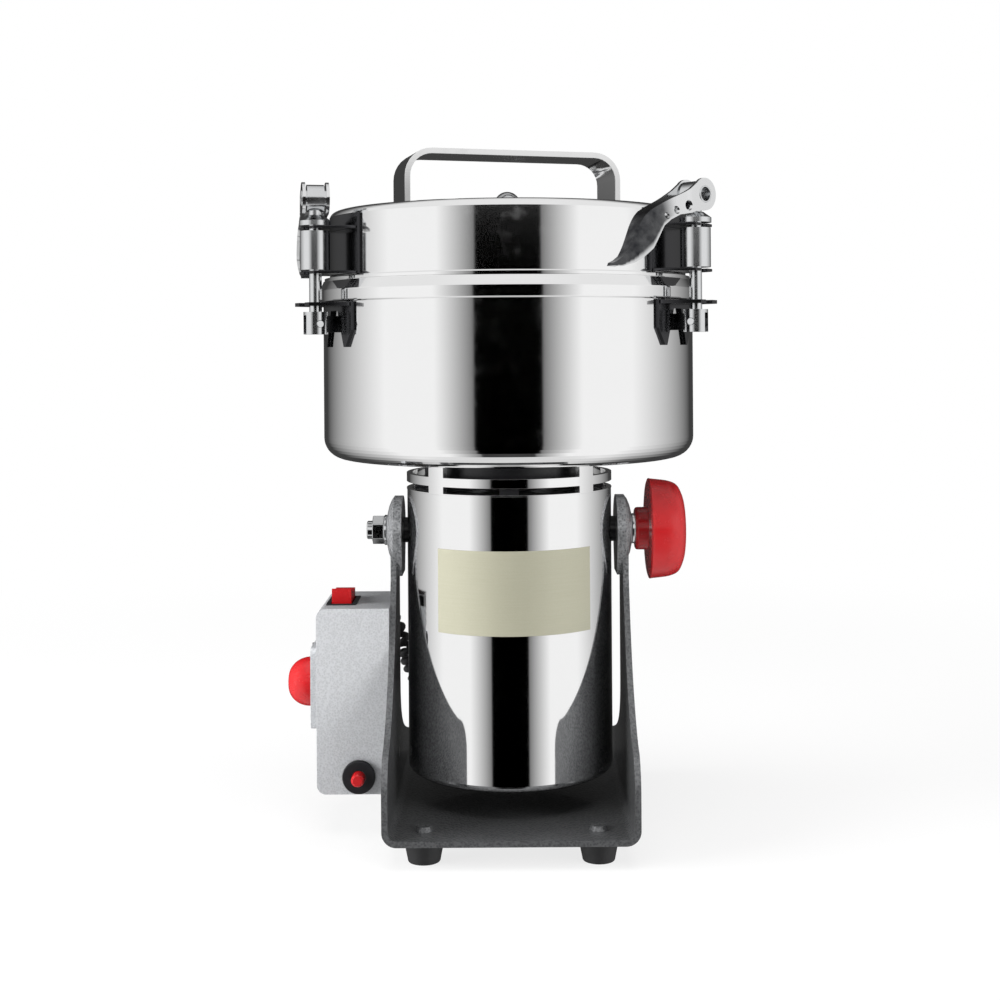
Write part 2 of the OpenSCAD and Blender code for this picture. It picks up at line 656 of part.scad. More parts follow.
module name_plate() color("#cfc9a2") intersection() {
    ring(plate_z[0], plate_z[1], sleeve_r + 0.35, sleeve_r);
    rotate([0, 0, plate_turn]) translate([-plate_w / 2, -60, 0]) cube([plate_w, 60, 200]);
}

// ---- clamps ----

// Three equal clamps stand round the bowl, each made on the +X side
module at_clamps() for (a = clamp_turn) rotate([0, 0, a]) children();
module at_rod(i) rotate([0, 0, clamp_turn[i]]) translate([rod_at, 0, 0]) children();

// A plate that narrows outwards, with a slot that the rod swings out of
module slotted_plate(z, t, reach, r_in) difference() {
    translate([0, 0, z]) linear_extrude(t)
        polygon([[60, -14], [82, -14], [reach, -8], [reach, 8], [82, 14], [60, 14]]);
    translate([0, 0, z - 1]) cylinder(h = t + 2, r = r_in);
    translate([rod_at, 0, z - 1]) cylinder(h = t + 2, r = rod_r + 0.45);
    translate([rod_at, -rod_r - 0.45, z - 1]) cube([20, 2 * rod_r + 0.9, t + 2]);
}

// Two pointed ears lie on the bowl, under a slotted plate, with a tongue for the pin between them
module bowl_brackets() color("#9da0a4") at_clamps() difference() {
    union() {
        slotted_plate(shelf_z, 1.5, shelf_x, bowl_r);
        intersection() {
            rotate([90, 0, 90]) linear_extrude(100)
                polygon([[-15, 228.2], [15, 228.2], [15, 215], [10.5, 208], [9, 208], [3.5, 223],
                         [-3.5, 223], [-9, 208], [-10.5, 208], [-15, 215]]);
            ring(200, bead[0] - 0.1, bowl_r + 1.4, bowl_r);
            translate([40, -20, 190]) cube(60);
        }
        difference() {
            union() {
                translate([76, -1.5, rod_pin_z - 3.4]) cube([rod_at - 76, 3, 6.8]);
                along_y(-1.5, 1.5, 3.4, rod_at, rod_pin_z);
            }
            cylinder(h = 300, r = bowl_r);
        }
    }
    along_y(-10, 10, 1.5, rod_at, rod_pin_z);
}

module lid_brackets() color("#9da0a4") at_clamps() union() {
    for (z = fork_z) slotted_plate(z, fork_t, fork_x, lid_r);
    intersection() {
        ring(fork_z[0], lid_top - lid_edge, lid_r + 1.4, lid_r);
        translate([40, -15, 190]) cube([60, 30, 100]);
    }
}

module bracket_pins() color("silver") at_clamps() {
    along_y(-5.4, 5.4, 1.5, rod_at, rod_pin_z);
}

module rod() difference() {
    union() {
        translate([0, 0, rod_pin_z - 4.2]) cylinder(h = 9.2, r = barrel_r);
        translate([0, 0, rod_pin_z + 4.4]) cylinder(h = eye_z - rod_pin_z - 7.4, r = rod_r);
        translate([0, 0, fork_z[0] + fork_t + 0.5])
            cylinder(h = fork_z[1] - fork_z[0] - fork_t - 1.2, r = sleeve_rod_r);
        translate([0, 0, fork_z[1] + fork_t + 0.3]) cylinder(h = 2, r = cap_rod_r);
        translate([0, 0, fork_z[1] + fork_t + 2.3]) cylinder(h = 2.3, r1 = cap_rod_r, r2 = 3.4);
        translate([0, 0, eye_z]) rotate([0, 0, lever_turn]) along_y(-eye_w / 2, eye_w / 2, 5.6);
    }
    along_y(-10, 10, 1.5 + run, 0, rod_pin_z);
    translate([-10, -1.6, rod_pin_z - 6]) cube([20, 3.2, 9.6]);
    translate([0, 0, eye_z]) rotate([0, 0, lever_turn]) along_y(-10, 10, eye_pin_r + run);
}

module right_rod() color("#b6b9bd") at_rod(0) rod();
module left_rod() color("#b6b9bd") at_rod(1) rod();
module rear_rod() color("#b6b9bd") at_rod(2) rod();

// Side view of a lever, in distances from its pin: the back that slopes down to the tip, and the lower edge
lever_back = concat([[0, eye_r], [5.2, 4.2]], curve([[9, 1.6], [14, -1.2], [25, -5], [31, -8.3]], 6),
                    curve([[31, -8.3], [37.5, -12.5], [39, -21], [44.5, -26.6]], 8),
                    [[47.5, -28.4], [50, -29.3]]);
lever_low = [[50, -30.6], [45.5, -30.6], [39.5, -28.9], [35.6, -26.7], [31, -23.2], [28.2, -19], [24.8, -14],
             [20.8, -11.4], [15.2, -9.1], [8.3, -8.1], [4.8, -7], [0, -eye_r]];

module lever_cheek() {
    circle(eye_r);
    polygon(concat(lever_back, lever_low));
}

// The strip between the cheeks, just under the line of the back
module lever_spine() difference() {
    polygon(concat(lever_back, lever_low));
    translate([-0.9, -1.1]) polygon(concat(lever_back, [[54, -60], [0, -60]]));
    translate([-20, -30]) square([36, 60]);
}

module side_plate(y, w) translate([0, y + w, 0]) rotate([90, 0, 0]) linear_extrude(w) children();

module lever() difference() {
    union() {
        for (y = [-lever_w / 2, lever_w / 2 - lever_t]) side_plate(y, lever_t) lever_cheek();
        side_plate(-lever_w / 2 + 0.5, lever_w - 1) lever_spine();
    }
    along_y(-20, 20, eye_pin_r);
    for (h = [[10, -5.2, 2.1], [17, -7.4, 1.6], [22.5, -10, 1.3]]) along_y(-20, 20, h[2], h[0], h[1]);
}

module at_eye(i) at_rod(i) translate([0, 0, eye_z]) rotate([0, 0, lever_turn]) children();

module right_lever() color("#c9ccd0") at_eye(0) lever();
module left_lever() color("#c9ccd0") at_eye(1) lever();
module rear_lever() color("#c9ccd0") at_eye(2) lever();

module lever_pin() difference() {
    along_y(-5.8, 5.8, eye_pin_r);
    along_y(-7.5, 7.5, 2.8);
}

module right_lever_pin() color("silver") at_eye(0) lever_pin();
module left_lever_pin() color("silver") at_eye(1) lever_pin();
module rear_lever_pin() color("silver") at_eye(2) lever_pin();

// ---- nodes ----

module placed() translate([axis_at.x, axis_at.y, 0]) children();

placed() base_frame();
placed() rubber_feet();
placed() foot_screws();
placed() pivot_studs();
placed() pivot_bushes();
placed() pivot_fasteners();
placed() lock_knob();
placed() knob_insert();
placed() box_shell();
placed() box_cover();
placed() box_screws();
placed() timer_plate();
placed() timer_body();
placed() timer_spindle();
placed() timer_knob();
placed() rocker_housing();
placed() rocker_button();
placed() breaker_body();
placed() breaker_nut();
placed() reset_button();
placed() box_glands();
placed() motor_cord_gland();
placed() curly_cord();
placed() motor_sleeve();
placed() sleeve_cap();
placed() end_frames();
placed() ball_bearings();
placed() stator_core();
placed() field_coils();
placed() brush_holders();
placed() carbon_brushes();
placed() motor_shaft();
placed() armature_core();
placed() armature_windings();
placed() commutator();
placed() cooling_fan();
placed() neck_ring();
placed() bowl_seat();
placed() bowl();
placed() bowl_screws();
placed() shaft_seal();
placed() blades();
placed() blade_fasteners();
placed() lid();
placed() lid_gasket();
placed() lid_fasteners();
placed() handle();
placed() name_plate();
placed() bowl_brackets();
placed() lid_brackets();
placed() bracket_pins();
placed() right_rod();
placed() left_rod();
placed() rear_rod();
placed() right_lever();
placed() left_lever();
placed() rear_lever();
placed() right_lever_pin();
placed() left_lever_pin();
placed() rear_lever_pin();
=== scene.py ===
import json
import math

import bmesh
import bpy
import numpy as np
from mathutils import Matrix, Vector

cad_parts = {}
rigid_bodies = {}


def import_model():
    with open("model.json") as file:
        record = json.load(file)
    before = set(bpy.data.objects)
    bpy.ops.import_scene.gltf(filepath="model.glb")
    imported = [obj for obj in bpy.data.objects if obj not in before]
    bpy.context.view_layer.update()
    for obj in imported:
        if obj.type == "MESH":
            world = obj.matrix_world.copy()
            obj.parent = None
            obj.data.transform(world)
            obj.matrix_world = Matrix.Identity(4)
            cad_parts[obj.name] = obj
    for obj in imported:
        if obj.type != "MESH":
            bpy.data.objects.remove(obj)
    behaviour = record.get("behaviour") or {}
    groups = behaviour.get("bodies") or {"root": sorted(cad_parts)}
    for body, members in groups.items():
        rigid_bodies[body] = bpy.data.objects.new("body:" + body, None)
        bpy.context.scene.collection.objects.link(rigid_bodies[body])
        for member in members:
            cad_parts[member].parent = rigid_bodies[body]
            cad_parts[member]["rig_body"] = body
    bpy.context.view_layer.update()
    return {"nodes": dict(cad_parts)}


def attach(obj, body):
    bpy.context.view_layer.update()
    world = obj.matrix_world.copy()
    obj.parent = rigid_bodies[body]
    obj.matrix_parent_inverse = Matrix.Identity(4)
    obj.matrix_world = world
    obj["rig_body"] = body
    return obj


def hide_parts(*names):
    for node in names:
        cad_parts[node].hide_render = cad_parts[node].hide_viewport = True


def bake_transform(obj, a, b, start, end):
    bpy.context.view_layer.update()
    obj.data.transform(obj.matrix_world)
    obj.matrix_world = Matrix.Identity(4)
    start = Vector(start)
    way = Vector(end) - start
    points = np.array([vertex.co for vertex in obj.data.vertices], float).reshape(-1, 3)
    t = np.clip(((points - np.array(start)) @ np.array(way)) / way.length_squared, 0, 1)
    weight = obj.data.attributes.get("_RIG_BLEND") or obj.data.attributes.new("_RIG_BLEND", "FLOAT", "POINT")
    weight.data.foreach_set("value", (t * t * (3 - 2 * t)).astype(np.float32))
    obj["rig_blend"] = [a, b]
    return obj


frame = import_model()

MM = 0.001
AXIS = np.array([6.1, -4.8, 0.0])    # millimetres: the axis of the motor and of the bowl


def placed(points):
    """Metres in the CAD frame, from millimetres that are measured from the axis."""
    return (np.asarray(points, float) + AXIS) * MM


# ---- camera ----

CAMERA_AT = tuple(placed([0, -660, 207.8]))
LENS = 54
SHIFT = (-0.0082, -0.1535)
ROLL = 0.38


def make_camera():
    """A level camera in front of the mill, looking along +Y."""
    data = bpy.data.cameras.new("camera")
    data.lens, data.sensor_width = LENS, 36
    data.shift_x, data.shift_y = SHIFT
    camera = bpy.data.objects.new("camera", data)
    camera.location = CAMERA_AT
    camera.rotation_euler = (math.pi / 2, math.radians(ROLL), 0)
    bpy.context.scene.collection.objects.link(camera)
    bpy.context.scene.camera = camera


make_camera()

# ---- shader values ----


class Value:
    """A socket of a material. Arithmetic on it adds Math nodes to the material."""

    def __init__(self, finish, socket):
        self.finish, self.socket = finish, socket

    def math(self, operation, *values):
        return self.finish.node("ShaderNodeMath", {"operation": operation}, values)

    def __add__(self, other):
        return self.math("ADD", self, other)

    def __radd__(self, other):
        return self.math("ADD", other, self)

    def __sub__(self, other):
        return self.math("SUBTRACT", self, other)

    def __rsub__(self, other):
        return self.math("SUBTRACT", other, self)

    def __mul__(self, other):
        return self.math("MULTIPLY", self, other)

    def __rmul__(self, other):
        return self.math("MULTIPLY", other, self)

    def __truediv__(self, other):
        return self.math("DIVIDE", self, other)

    def step(self, low, high):
        """0 below low, 1 above high, and smooth between them."""
        return self.finish.node("ShaderNodeMapRange", {"interpolation_type": "SMOOTHSTEP"},
                                {"Value": self, "From Min": low, "From Max": high})


class Finish:
    """A material, or the world, with a method that adds its nodes."""

    def __init__(self, name, owner=None):
        self.made = owner or bpy.data.materials.new(name)
        self.made.use_nodes = True
        self.tree = self.made.node_tree
        self.shader = self.tree.nodes.get("Principled BSDF")

    def node(self, kind, settings=(), values=(), out=0):
        """Adds a node. Its settings are set first, and then its sockets get values or links."""
        node = self.tree.nodes.new(kind)
        for key, setting in dict(settings).items():
            if key == "stops":
                self.set_stops(node.color_ramp, setting)
            else:
                setattr(node, key, setting)
        pairs = values.items() if isinstance(values, dict) else enumerate(values)
        for key, value in pairs:
            self.put(node.inputs[key], value)
        return Value(self, node.outputs[out])

    def put(self, socket, value):
        if isinstance(value, Value):
            self.tree.links.new(value.socket, socket)
        elif isinstance(value, tuple) and len(value) == 3 and socket.type == "RGBA":
            socket.default_value = (*value, 1)
        else:
            socket.default_value = value

    @staticmethod
    def set_stops(ramp, stops):
        """Stops are (position, grey or colour)."""
        while len(ramp.elements) < len(stops):
            ramp.elements.new(1)
        for element, (position, colour) in zip(ramp.elements, stops):
            element.position = position
            element.color = (*colour, 1) if isinstance(colour, tuple) else (colour, colour, colour, 1)

    def place(self, scale=(1, 1, 1), turn=(0, 0, 0), shift=(0, 0, 0)):
        """Object coordinates, scaled, turned and shifted."""
        at = self.node("ShaderNodeTexCoord", out="Object")
        return self.node("ShaderNodeMapping", {}, {"Vector": at, "Location": shift, "Rotation": turn, "Scale": scale})

    def noise(self, scale, detail=4.0, roughness=0.5, at=None, distortion=0.0):
        return self.node("ShaderNodeTexNoise", {}, {
            "Vector": at or self.place(), "Scale": scale, "Detail": detail, "Roughness": roughness,
            "Distortion": distortion})

    def mix(self, factor, a, b):
        """The colour a where factor is 0 and b where it is 1."""
        node = self.node("ShaderNodeMix", {"data_type": "RGBA"}, out=2)
        inner = node.socket.node
        self.put(inner.inputs[0], factor)
        self.put(inner.inputs[6], a)
        self.put(inner.inputs[7], b)
        return node

    def bump(self, height, strength, distance=0.0002):
        return self.node("ShaderNodeBump", {}, {"Height": height, "Strength": strength, "Distance": distance})

    def look(self, **sockets):
        """Sets the sockets of the surface's shader: base_color, roughness, metallic, normal and so on."""
        for key, value in sockets.items():
            self.put(self.shader.inputs[key.replace("_", " ").title().replace("Ior", "IOR")], value)
        return self.made


# ---- finishes ----


LINE_DEPTH = 0.00002      # metres: the depth of brushed lines


def steel(name, tone, rough, fine, direction, wear=0.12):
    """Bare metal: fine lines along one direction, soft clouds in the polish, and a little wear."""
    finish = Finish(name)
    lines = finish.noise(fine, 6, 0.6, finish.place(scale=direction))
    clouds = finish.noise(38, 3, 0.5)
    blotches = finish.noise(160, 2, 0.5).step(0.52, 0.75)
    dark = tuple(c * (1 - wear) for c in tone)
    return finish.look(
        base_color=finish.mix(lines * 0.5 + clouds * 0.5, dark, tone),
        metallic=1.0,
        roughness=rough + lines * rough * 0.35 + blotches * 0.035,
        normal=finish.bump(lines, 0.05 + rough * 0.35, LINE_DEPTH))


def lever_steel():
    """Polished steel with a painted dark reflection, darker and rougher, where the attribute far is high, except
    along its lower edge, where the attribute rise is 0."""
    finish = Finish("lever_steel")
    lines = finish.noise(60, 5, 0.6, finish.place(scale=(1, 1, 40)))
    blotches = finish.noise(240, 3, 0.5)
    far, rise = (finish.node("ShaderNodeAttribute", {"attribute_name": name}, out="Fac") for name in ("far", "rise"))
    # painted dark reflection: the lever's far lower part is coloured nearly black to stand for the dark surroundings
    # it reflects, varied by a noise
    dull_and_painted_reflection = far * (rise.step(0.03, 0.2) * 0.85 + 0.1) * (blotches * 0.3 + 0.85)
    return finish.look(base_color=finish.mix(dull_and_painted_reflection, (0.84, 0.845, 0.85), (0.035, 0.036, 0.04)), metallic=1.0,
                       roughness=0.1 + dull_and_painted_reflection * 0.16 + lines * 0.05, normal=finish.bump(lines, 0.08, LINE_DEPTH))


def cast_metal(name, tone):
    """Sand-cast metal: a coarse grain, darker in its pits."""
    finish = Finish(name)
    grain = finish.noise(900, 4, 0.6)
    return finish.look(base_color=finish.mix(grain, tuple(c * 0.7 for c in tone), tone), metallic=1.0,
                       roughness=0.42 + grain * 0.2, normal=finish.bump(grain, 0.35, 0.0002))


def hammered(name, low, high, size, depth, rough, metallic, head=None):
    """Hammered enamel: shallow round dimples, each with a darker floor and a bright rim. With head, a pair of heights
    in metres and a factor, the enamel is paler by that factor above them: painted light above those heights and
    painted shade below them."""
    finish = Finish(name)
    bent = finish.noise(size * 0.8, 2, 0.5)
    cells = finish.node("ShaderNodeTexVoronoi", {"feature": "SMOOTH_F1"}, {
        "Vector": finish.place(), "Scale": size, "Smoothness": 0.7, "Randomness": 1.0})
    height = cells.step(0.05, 0.75) * 0.7 + bent * 0.3
    speck = finish.noise(2400, 2, 0.5)
    shade = finish.mix(height * 0.75 + speck * 0.25, low, high)
    # painted light and shade: the colour turns paler with height
    if head:
        z = finish.node("ShaderNodeSeparateXYZ", {}, [finish.place()], out=2)
        painted_light_tone = finish.mix(height, tuple(c * head[2] for c in low), tuple(c * head[2] for c in high))
        shade = finish.mix(z.step(head[0], head[1]), shade, painted_light_tone)
    return finish.look(
        base_color=shade, metallic=metallic,
        roughness=rough + speck * 0.1, coat_weight=0.25,
        normal=finish.bump(height, depth, 0.0003))


def moulded(name, tone, rough, grain=1400, depth=0.06):
    """Moulded plastic: a faint grain, slow changes of shade and a few dull patches."""
    finish = Finish(name)
    fine = finish.noise(grain, 3, 0.5)
    slow = finish.noise(45, 2, 0.5)
    dull_and_painted_reflection = finish.noise(220, 3, 0.6).step(0.5, 0.8)
    return finish.look(
        base_color=finish.mix(slow * 0.7 + fine * 0.3, tuple(c * 0.86 for c in tone), tone),
        roughness=rough + fine * 0.06 + dull_and_painted_reflection * 0.12, normal=finish.bump(fine, depth, 0.00008))


def stacked_sheets():
    """Stacked iron sheets: bands across the axis."""
    finish = Finish("laminations")
    layers = finish.node("ShaderNodeTexWave", {"wave_type": "BANDS", "bands_direction": "Z"}, {
        "Vector": finish.place(), "Scale": 320.0, "Distortion": 0.4, "Detail": 2.0})
    return finish.look(base_color=finish.mix(layers, (0.09, 0.09, 0.1), (0.33, 0.34, 0.36)), metallic=0.9,
                       roughness=0.38 + layers * 0.15, normal=finish.bump(layers, 0.5, 0.0001))


def wound_wire():
    """Enamelled copper wire, wound turn beside turn."""
    finish = Finish("copper")
    turns = finish.node("ShaderNodeTexWave", {"wave_type": "BANDS", "bands_direction": "DIAGONAL"}, {
        "Vector": finish.place(), "Scale": 260.0, "Distortion": 1.2, "Detail": 2.0})
    return finish.look(base_color=finish.mix(turns, (0.22, 0.07, 0.02), (0.72, 0.33, 0.14)), metallic=0.8,
                       roughness=0.3 + turns * 0.1, normal=finish.bump(turns, 0.7, 0.0002))


def printed_plate():
    """A pale metallic label: fine horizontal brushing under a clear film."""
    finish = Finish("plate_film")
    brush = finish.noise(60, 4, 0.6, finish.place(scale=(1, 1, 60)))
    grain = finish.noise(1800, 2, 0.5)
    return finish.look(base_color=finish.mix(brush * 0.6 + grain * 0.4, (0.36, 0.35, 0.26), (0.45, 0.44, 0.34)),
                       metallic=0.25, roughness=0.34 + grain * 0.08, coat_weight=0.3,
                       normal=finish.bump(brush, 0.1, LINE_DEPTH))


UP = (1, 1, 60)        # lines that lie round the Z axis
LENGTHWISE = (60, 1, 1)

FINISHES = {
    "polished_steel": steel("polished_steel", (0.93, 0.93, 0.93), 0.055, 30, UP, 0.03),
    "satin_steel": steel("satin_steel", (0.80, 0.805, 0.81), 0.13, 60, UP),
    "lever_steel": lever_steel(),
    # painted dark reflection: polished steel brackets coloured nearly black to stand for the dark surroundings they
    # reflect
    "painted_dark_reflection_steel": steel("painted_dark_reflection_steel", (0.075, 0.075, 0.08), 0.16, 60, UP, 0.3),
    "zinc_steel": steel("zinc_steel", (0.78, 0.79, 0.80), 0.14, 200, (1, 1, 1)),
    # painted light and shade: the frame's enamel is dark below 0.100 m as painted shade and 2.6 times paler above
    # 0.122 m as painted light on the arm heads
    "hammered_grey": hammered("hammered_grey", (0.055, 0.057, 0.06), (0.19, 0.193, 0.198), 1000, 0.5, 0.28, 0.6,
                              (0.100, 0.122, 2.6)),
    "silver_enamel": hammered("silver_enamel", (0.42, 0.43, 0.445), (0.63, 0.64, 0.66), 1300, 0.3, 0.3, 0.25),
    "red_plastic": moulded("red_plastic", (0.50, 0.010, 0.013), 0.2),
    "black_plastic": moulded("black_plastic", (0.016, 0.016, 0.018), 0.3),
    "black_rubber": moulded("black_rubber", (0.014, 0.014, 0.015), 0.55, 900, 0.2),
    "cast_aluminium": cast_metal("cast_aluminium", (0.52, 0.53, 0.54)),
    "laminations": stacked_sheets(),
    "copper": wound_wire(),
    "brass": steel("brass", (0.80, 0.60, 0.28), 0.24, 120, UP),
    "carbon": moulded("carbon", (0.03, 0.03, 0.033), 0.5, 1800, 0.3),
    "white_plastic": moulded("white_plastic", (0.74, 0.72, 0.66), 0.4),
    "silicone": moulded("silicone", (0.78, 0.77, 0.74), 0.45),
    "plate_film": printed_plate(),
}

CAD_FINISH = {
    "polished_steel": ["bowl", "lid", "motor_sleeve", "neck_ring", "handle"],
    "satin_steel": ["blades", "bowl_brackets", "lid_brackets", "right_lever", "left_lever", "rear_lever",
                    "motor_shaft"],
    "zinc_steel": ["foot_screws", "pivot_studs", "pivot_fasteners", "box_screws", "timer_spindle", "breaker_nut",
                   "ball_bearings", "bowl_screws", "blade_fasteners", "lid_fasteners", "bracket_pins",
                   "right_rod", "left_rod", "rear_rod", "right_lever_pin", "left_lever_pin", "rear_lever_pin"],
    "hammered_grey": ["base_frame"],
    "silver_enamel": ["box_shell", "box_cover", "timer_plate"],
    "red_plastic": ["lock_knob", "timer_knob", "rocker_button", "reset_button"],
    "black_plastic": ["rocker_housing", "breaker_body", "pivot_bushes", "sleeve_cap", "bowl_seat"],
    "black_rubber": ["rubber_feet", "box_glands", "motor_cord_gland", "curly_cord", "shaft_seal"],
    "cast_aluminium": ["end_frames"],
    "laminations": ["stator_core", "armature_core"],
    "copper": ["field_coils", "armature_windings", "commutator"],
    "brass": ["knob_insert", "brush_holders"],
    "carbon": ["carbon_brushes"],
    "white_plastic": ["timer_body", "cooling_fan"],
    "silicone": ["lid_gasket"],
    "plate_film": ["name_plate"],
}


def dress_cad():
    for slot, names in CAD_FINISH.items():
        for name in names:
            mesh = frame["nodes"][name].data
            mesh.materials.clear()
            mesh.materials.append(FINISHES[slot])


dress_cad()

# ---- surfaces ----


def add_piece(name, points, faces, slot, body, replaced=()):
    """Puts a surface into the scene and lets it ride on a CAD body."""
    mesh = bpy.data.meshes.new(name)
    mesh.from_pydata(points.tolist(), [], faces.tolist() if hasattr(faces, "tolist") else faces)
    mesh.validate()
    mesh.polygons.foreach_set("use_smooth", np.ones(len(mesh.polygons), bool))
    mesh.materials.append(FINISHES[slot])
    piece = bpy.data.objects.new(name, mesh)
    bpy.context.scene.collection.objects.link(piece)
    if replaced:
        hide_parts(*replaced)
    if body:
        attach(piece, body)
    return piece


def grid_faces(rows, columns):
    """Four-sided faces of a grid of points whose rows are closed rings."""
    i, j = np.meshgrid(np.arange(rows - 1), np.arange(columns), indexing="ij")
    a, b = i + 1, (j + 1) % columns
    return np.stack([i * columns + j, i * columns + b, a * columns + b, a * columns + j], -1).reshape(-1, 4)


def smooth_path(points, count):
    """Points of a smooth line through the given ones (Catmull-Rom), evenly spaced."""
    p = np.array(points, float)
    p = np.vstack([2 * p[0] - p[1], p, 2 * p[-1] - p[-2]])
    t = np.linspace(0, len(points) - 1, count * 4)
    k = np.minimum(t.astype(int), len(points) - 2)
    f = (t - k)[:, None]
    a, b, c, d = p[k], p[k + 1], p[k + 2], p[k + 3]
    line = 0.5 * (2 * b + (c - a) * f + (2 * a - 5 * b + 4 * c - d) * f ** 2 + (3 * b - a - 3 * c + d) * f ** 3)
    run = np.concatenate([[0], np.cumsum(np.linalg.norm(np.diff(line, axis=0), axis=1))])
    even = np.linspace(0, run[-1], count)
    return np.stack([np.interp(even, run, line[:, i]) for i in range(3)], 1)


def frames(line, up=(0.3, 0.2, 1)):
    """Two unit vectors across a line at each of its points."""
    along = np.gradient(line, axis=0)
    along /= np.linalg.norm(along, axis=1, keepdims=True)
    u = np.cross(along, np.array(up, float))
    u /= np.linalg.norm(u, axis=1, keepdims=True)
    return u, np.cross(along, u)


def tube(line, radius, around):
    """A tube about a line: point(i, j) = line(i) + radius * (cos a * u + sin a * v), with closed ends."""
    u, v = frames(line)
    angle = np.linspace(0, 2 * np.pi, around, endpoint=False)
    ring = np.cos(angle)[None, :, None] * u[:, None] + np.sin(angle)[None, :, None] * v[:, None]
    points = (line[:, None] + radius * ring).reshape(-1, 3)
    faces = grid_faces(len(line), around).tolist()
    last = (len(line) - 1) * around
    faces += [list(range(around - 1, -1, -1)), list(range(last, last + around))]
    return points, faces


def drop(corners, steps=5):
    """A profile with rounded corners. A corner is (radius, height, reach), and a quadratic curve that starts and
    ends at that reach from it takes its place: p(t) = (1 - t)^2 a + 2 t (1 - t) corner + t^2 b."""
    c = np.array(corners, float)
    before = np.vstack([c[:1], c[:-1]])[:, :2] - c[:, :2]
    after = np.vstack([c[1:], c[-1:]])[:, :2] - c[:, :2]
    unit = [d / np.maximum(np.linalg.norm(d, axis=1, keepdims=True), 1e-9) for d in (before, after)]
    a, b = (c[:, :2] + c[:, 2:] * d for d in unit)
    t = np.linspace(0, 1, steps)[None, :, None]
    line = ((1 - t) ** 2 * a[:, None] + 2 * t * (1 - t) * c[:, None, :2] + t ** 2 * b[:, None]).reshape(-1, 2)
    keep = np.concatenate([[True], np.linalg.norm(np.diff(line, axis=0), axis=1) > 1e-6])
    return line[keep]


def turned(profile, along, centre, around=120):
    """A turned shape: point(i, j) = centre + h(i) * w + r(i) * (cos a(j) * u + sin a(j) * v), from one pole to the
    other, with one point at each pole."""
    r, h = np.asarray(profile, float).T
    w = np.array(along, float)
    u = np.array([w[1], w[2], w[0]])
    angle = np.linspace(0, 2 * np.pi, around, endpoint=False)[:, None]
    ring = np.cos(angle) * u + np.sin(angle) * np.cross(w, u)
    body = centre + h[1:-1, None, None] * w + r[1:-1, None, None] * ring
    points = np.vstack([body.reshape(-1, 3), centre + h[[0, -1], None] * w])
    rows = len(r) - 2
    j = np.arange(around)
    k, low, high = (j + 1) % around, np.full(around, rows * around), np.full(around, rows * around + 1)
    faces = grid_faces(rows, around).tolist() + np.stack([low, k, j], 1).tolist()
    return points, faces + np.stack([high, j + (rows - 1) * around, k + (rows - 1) * around], 1).tolist()


# ---- rounded edges ----

SLOT_OF = {name: slot for slot, names in CAD_FINISH.items() for name in names}
# Pieces whose finish isn't the plain one of their slot: the brackets and the levers carry a painted dark reflection,
# and the foot screws take the base's enamel
SPECIAL = {"bowl_brackets": "painted_dark_reflection_steel", "lid_brackets": "painted_dark_reflection_steel", "foot_screws": "hammered_grey",
           "right_lever": "lever_steel", "left_lever": "lever_steel", "rear_lever": "lever_steel"}


def merged(name, cuts=()):
    """A copy of a CAD node's mesh, with its triangles joined into whole faces. Cuts are planes (point, normal)
    that part the faces further."""
    mesh = bpy.data.meshes.new(name + "_soft")
    work = bmesh.new()
    work.from_mesh(frame["nodes"][name].data)
    bmesh.ops.remove_doubles(work, verts=work.verts, dist=2e-6)
    bmesh.ops.dissolve_limit(work, angle_limit=math.radians(0.5), verts=work.verts, edges=work.edges)
    for point, normal in cuts:
        bmesh.ops.bisect_plane(work, geom=work.verts[:] + work.edges[:] + work.faces[:], plane_co=point,
                               plane_no=normal)
    work.to_mesh(mesh)
    work.free()
    for attribute in [a for a in mesh.attributes if a.name in ("custom_normal", "sharp_edge", "sharp_face")]:
        mesh.attributes.remove(attribute)
    mesh.polygons.foreach_set("use_smooth", np.ones(len(mesh.polygons), bool))
    return mesh


def soften(name, width, segments=2, angle=32, where=None, mesh=None):
    """Takes the place of a CAD node, with its sharp edges rounded over a width in millimetres."""
    mesh = mesh or merged(name)
    mesh.materials.clear()
    mesh.materials.append(FINISHES[SPECIAL.get(name, SLOT_OF[name])])
    piece = bpy.data.objects.new(name + "_soft", mesh)
    bpy.context.scene.collection.objects.link(piece)
    bevel = piece.modifiers.new("edges", "BEVEL")
    bevel.width, bevel.segments = width * MM, segments
    bevel.limit_method, bevel.angle_limit = "ANGLE", math.radians(angle)
    bevel.harden_normals = True
    if where:
        points = np.array([v.co for v in mesh.vertices]) / MM - AXIS
        ends = np.array([e.vertices[:] for e in mesh.edges])
        weights = mesh.attributes.new("bevel_weight_edge", "FLOAT", "EDGE")
        rounded = where(points[ends[:, 0]], points[ends[:, 1]])
        weights.data.foreach_set("value", rounded.astype(float))
        bevel.limit_method = "WEIGHT"
        mesh.set_sharp_from_angle(angle=math.radians(angle))
        sharp = np.zeros(len(mesh.edges), bool)
        mesh.attributes["sharp_edge"].data.foreach_get("value", sharp)
        mesh.attributes["sharp_edge"].data.foreach_set("value", sharp & ~rounded)
    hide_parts(name)
    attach(piece, frame["nodes"][name]["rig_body"])
    return piece


BOX_HALF_DEPTH = 23
BOX_INNER_X = -51.5


def box_rims(a, b):
    """The outer edges of the control box's front and back: edges (a, b) in those two planes that lie at its left,
    its top or its bottom, but not where it meets the arm."""
    on_face = (np.abs(np.abs(a[:, 1]) - BOX_HALF_DEPTH) < 0.01) & (np.abs(np.abs(b[:, 1]) - BOX_HALF_DEPTH) < 0.01)
    at_arm = (np.abs(a[:, 0] - BOX_INNER_X) < 0.01) & (np.abs(b[:, 0] - BOX_INNER_X) < 0.01)
    low, high = np.minimum(a, b), np.maximum(a, b)
    return on_face & ~at_arm & ((low[:, 0] < -82) | (high[:, 2] > 92) | (low[:, 2] < 22.1))


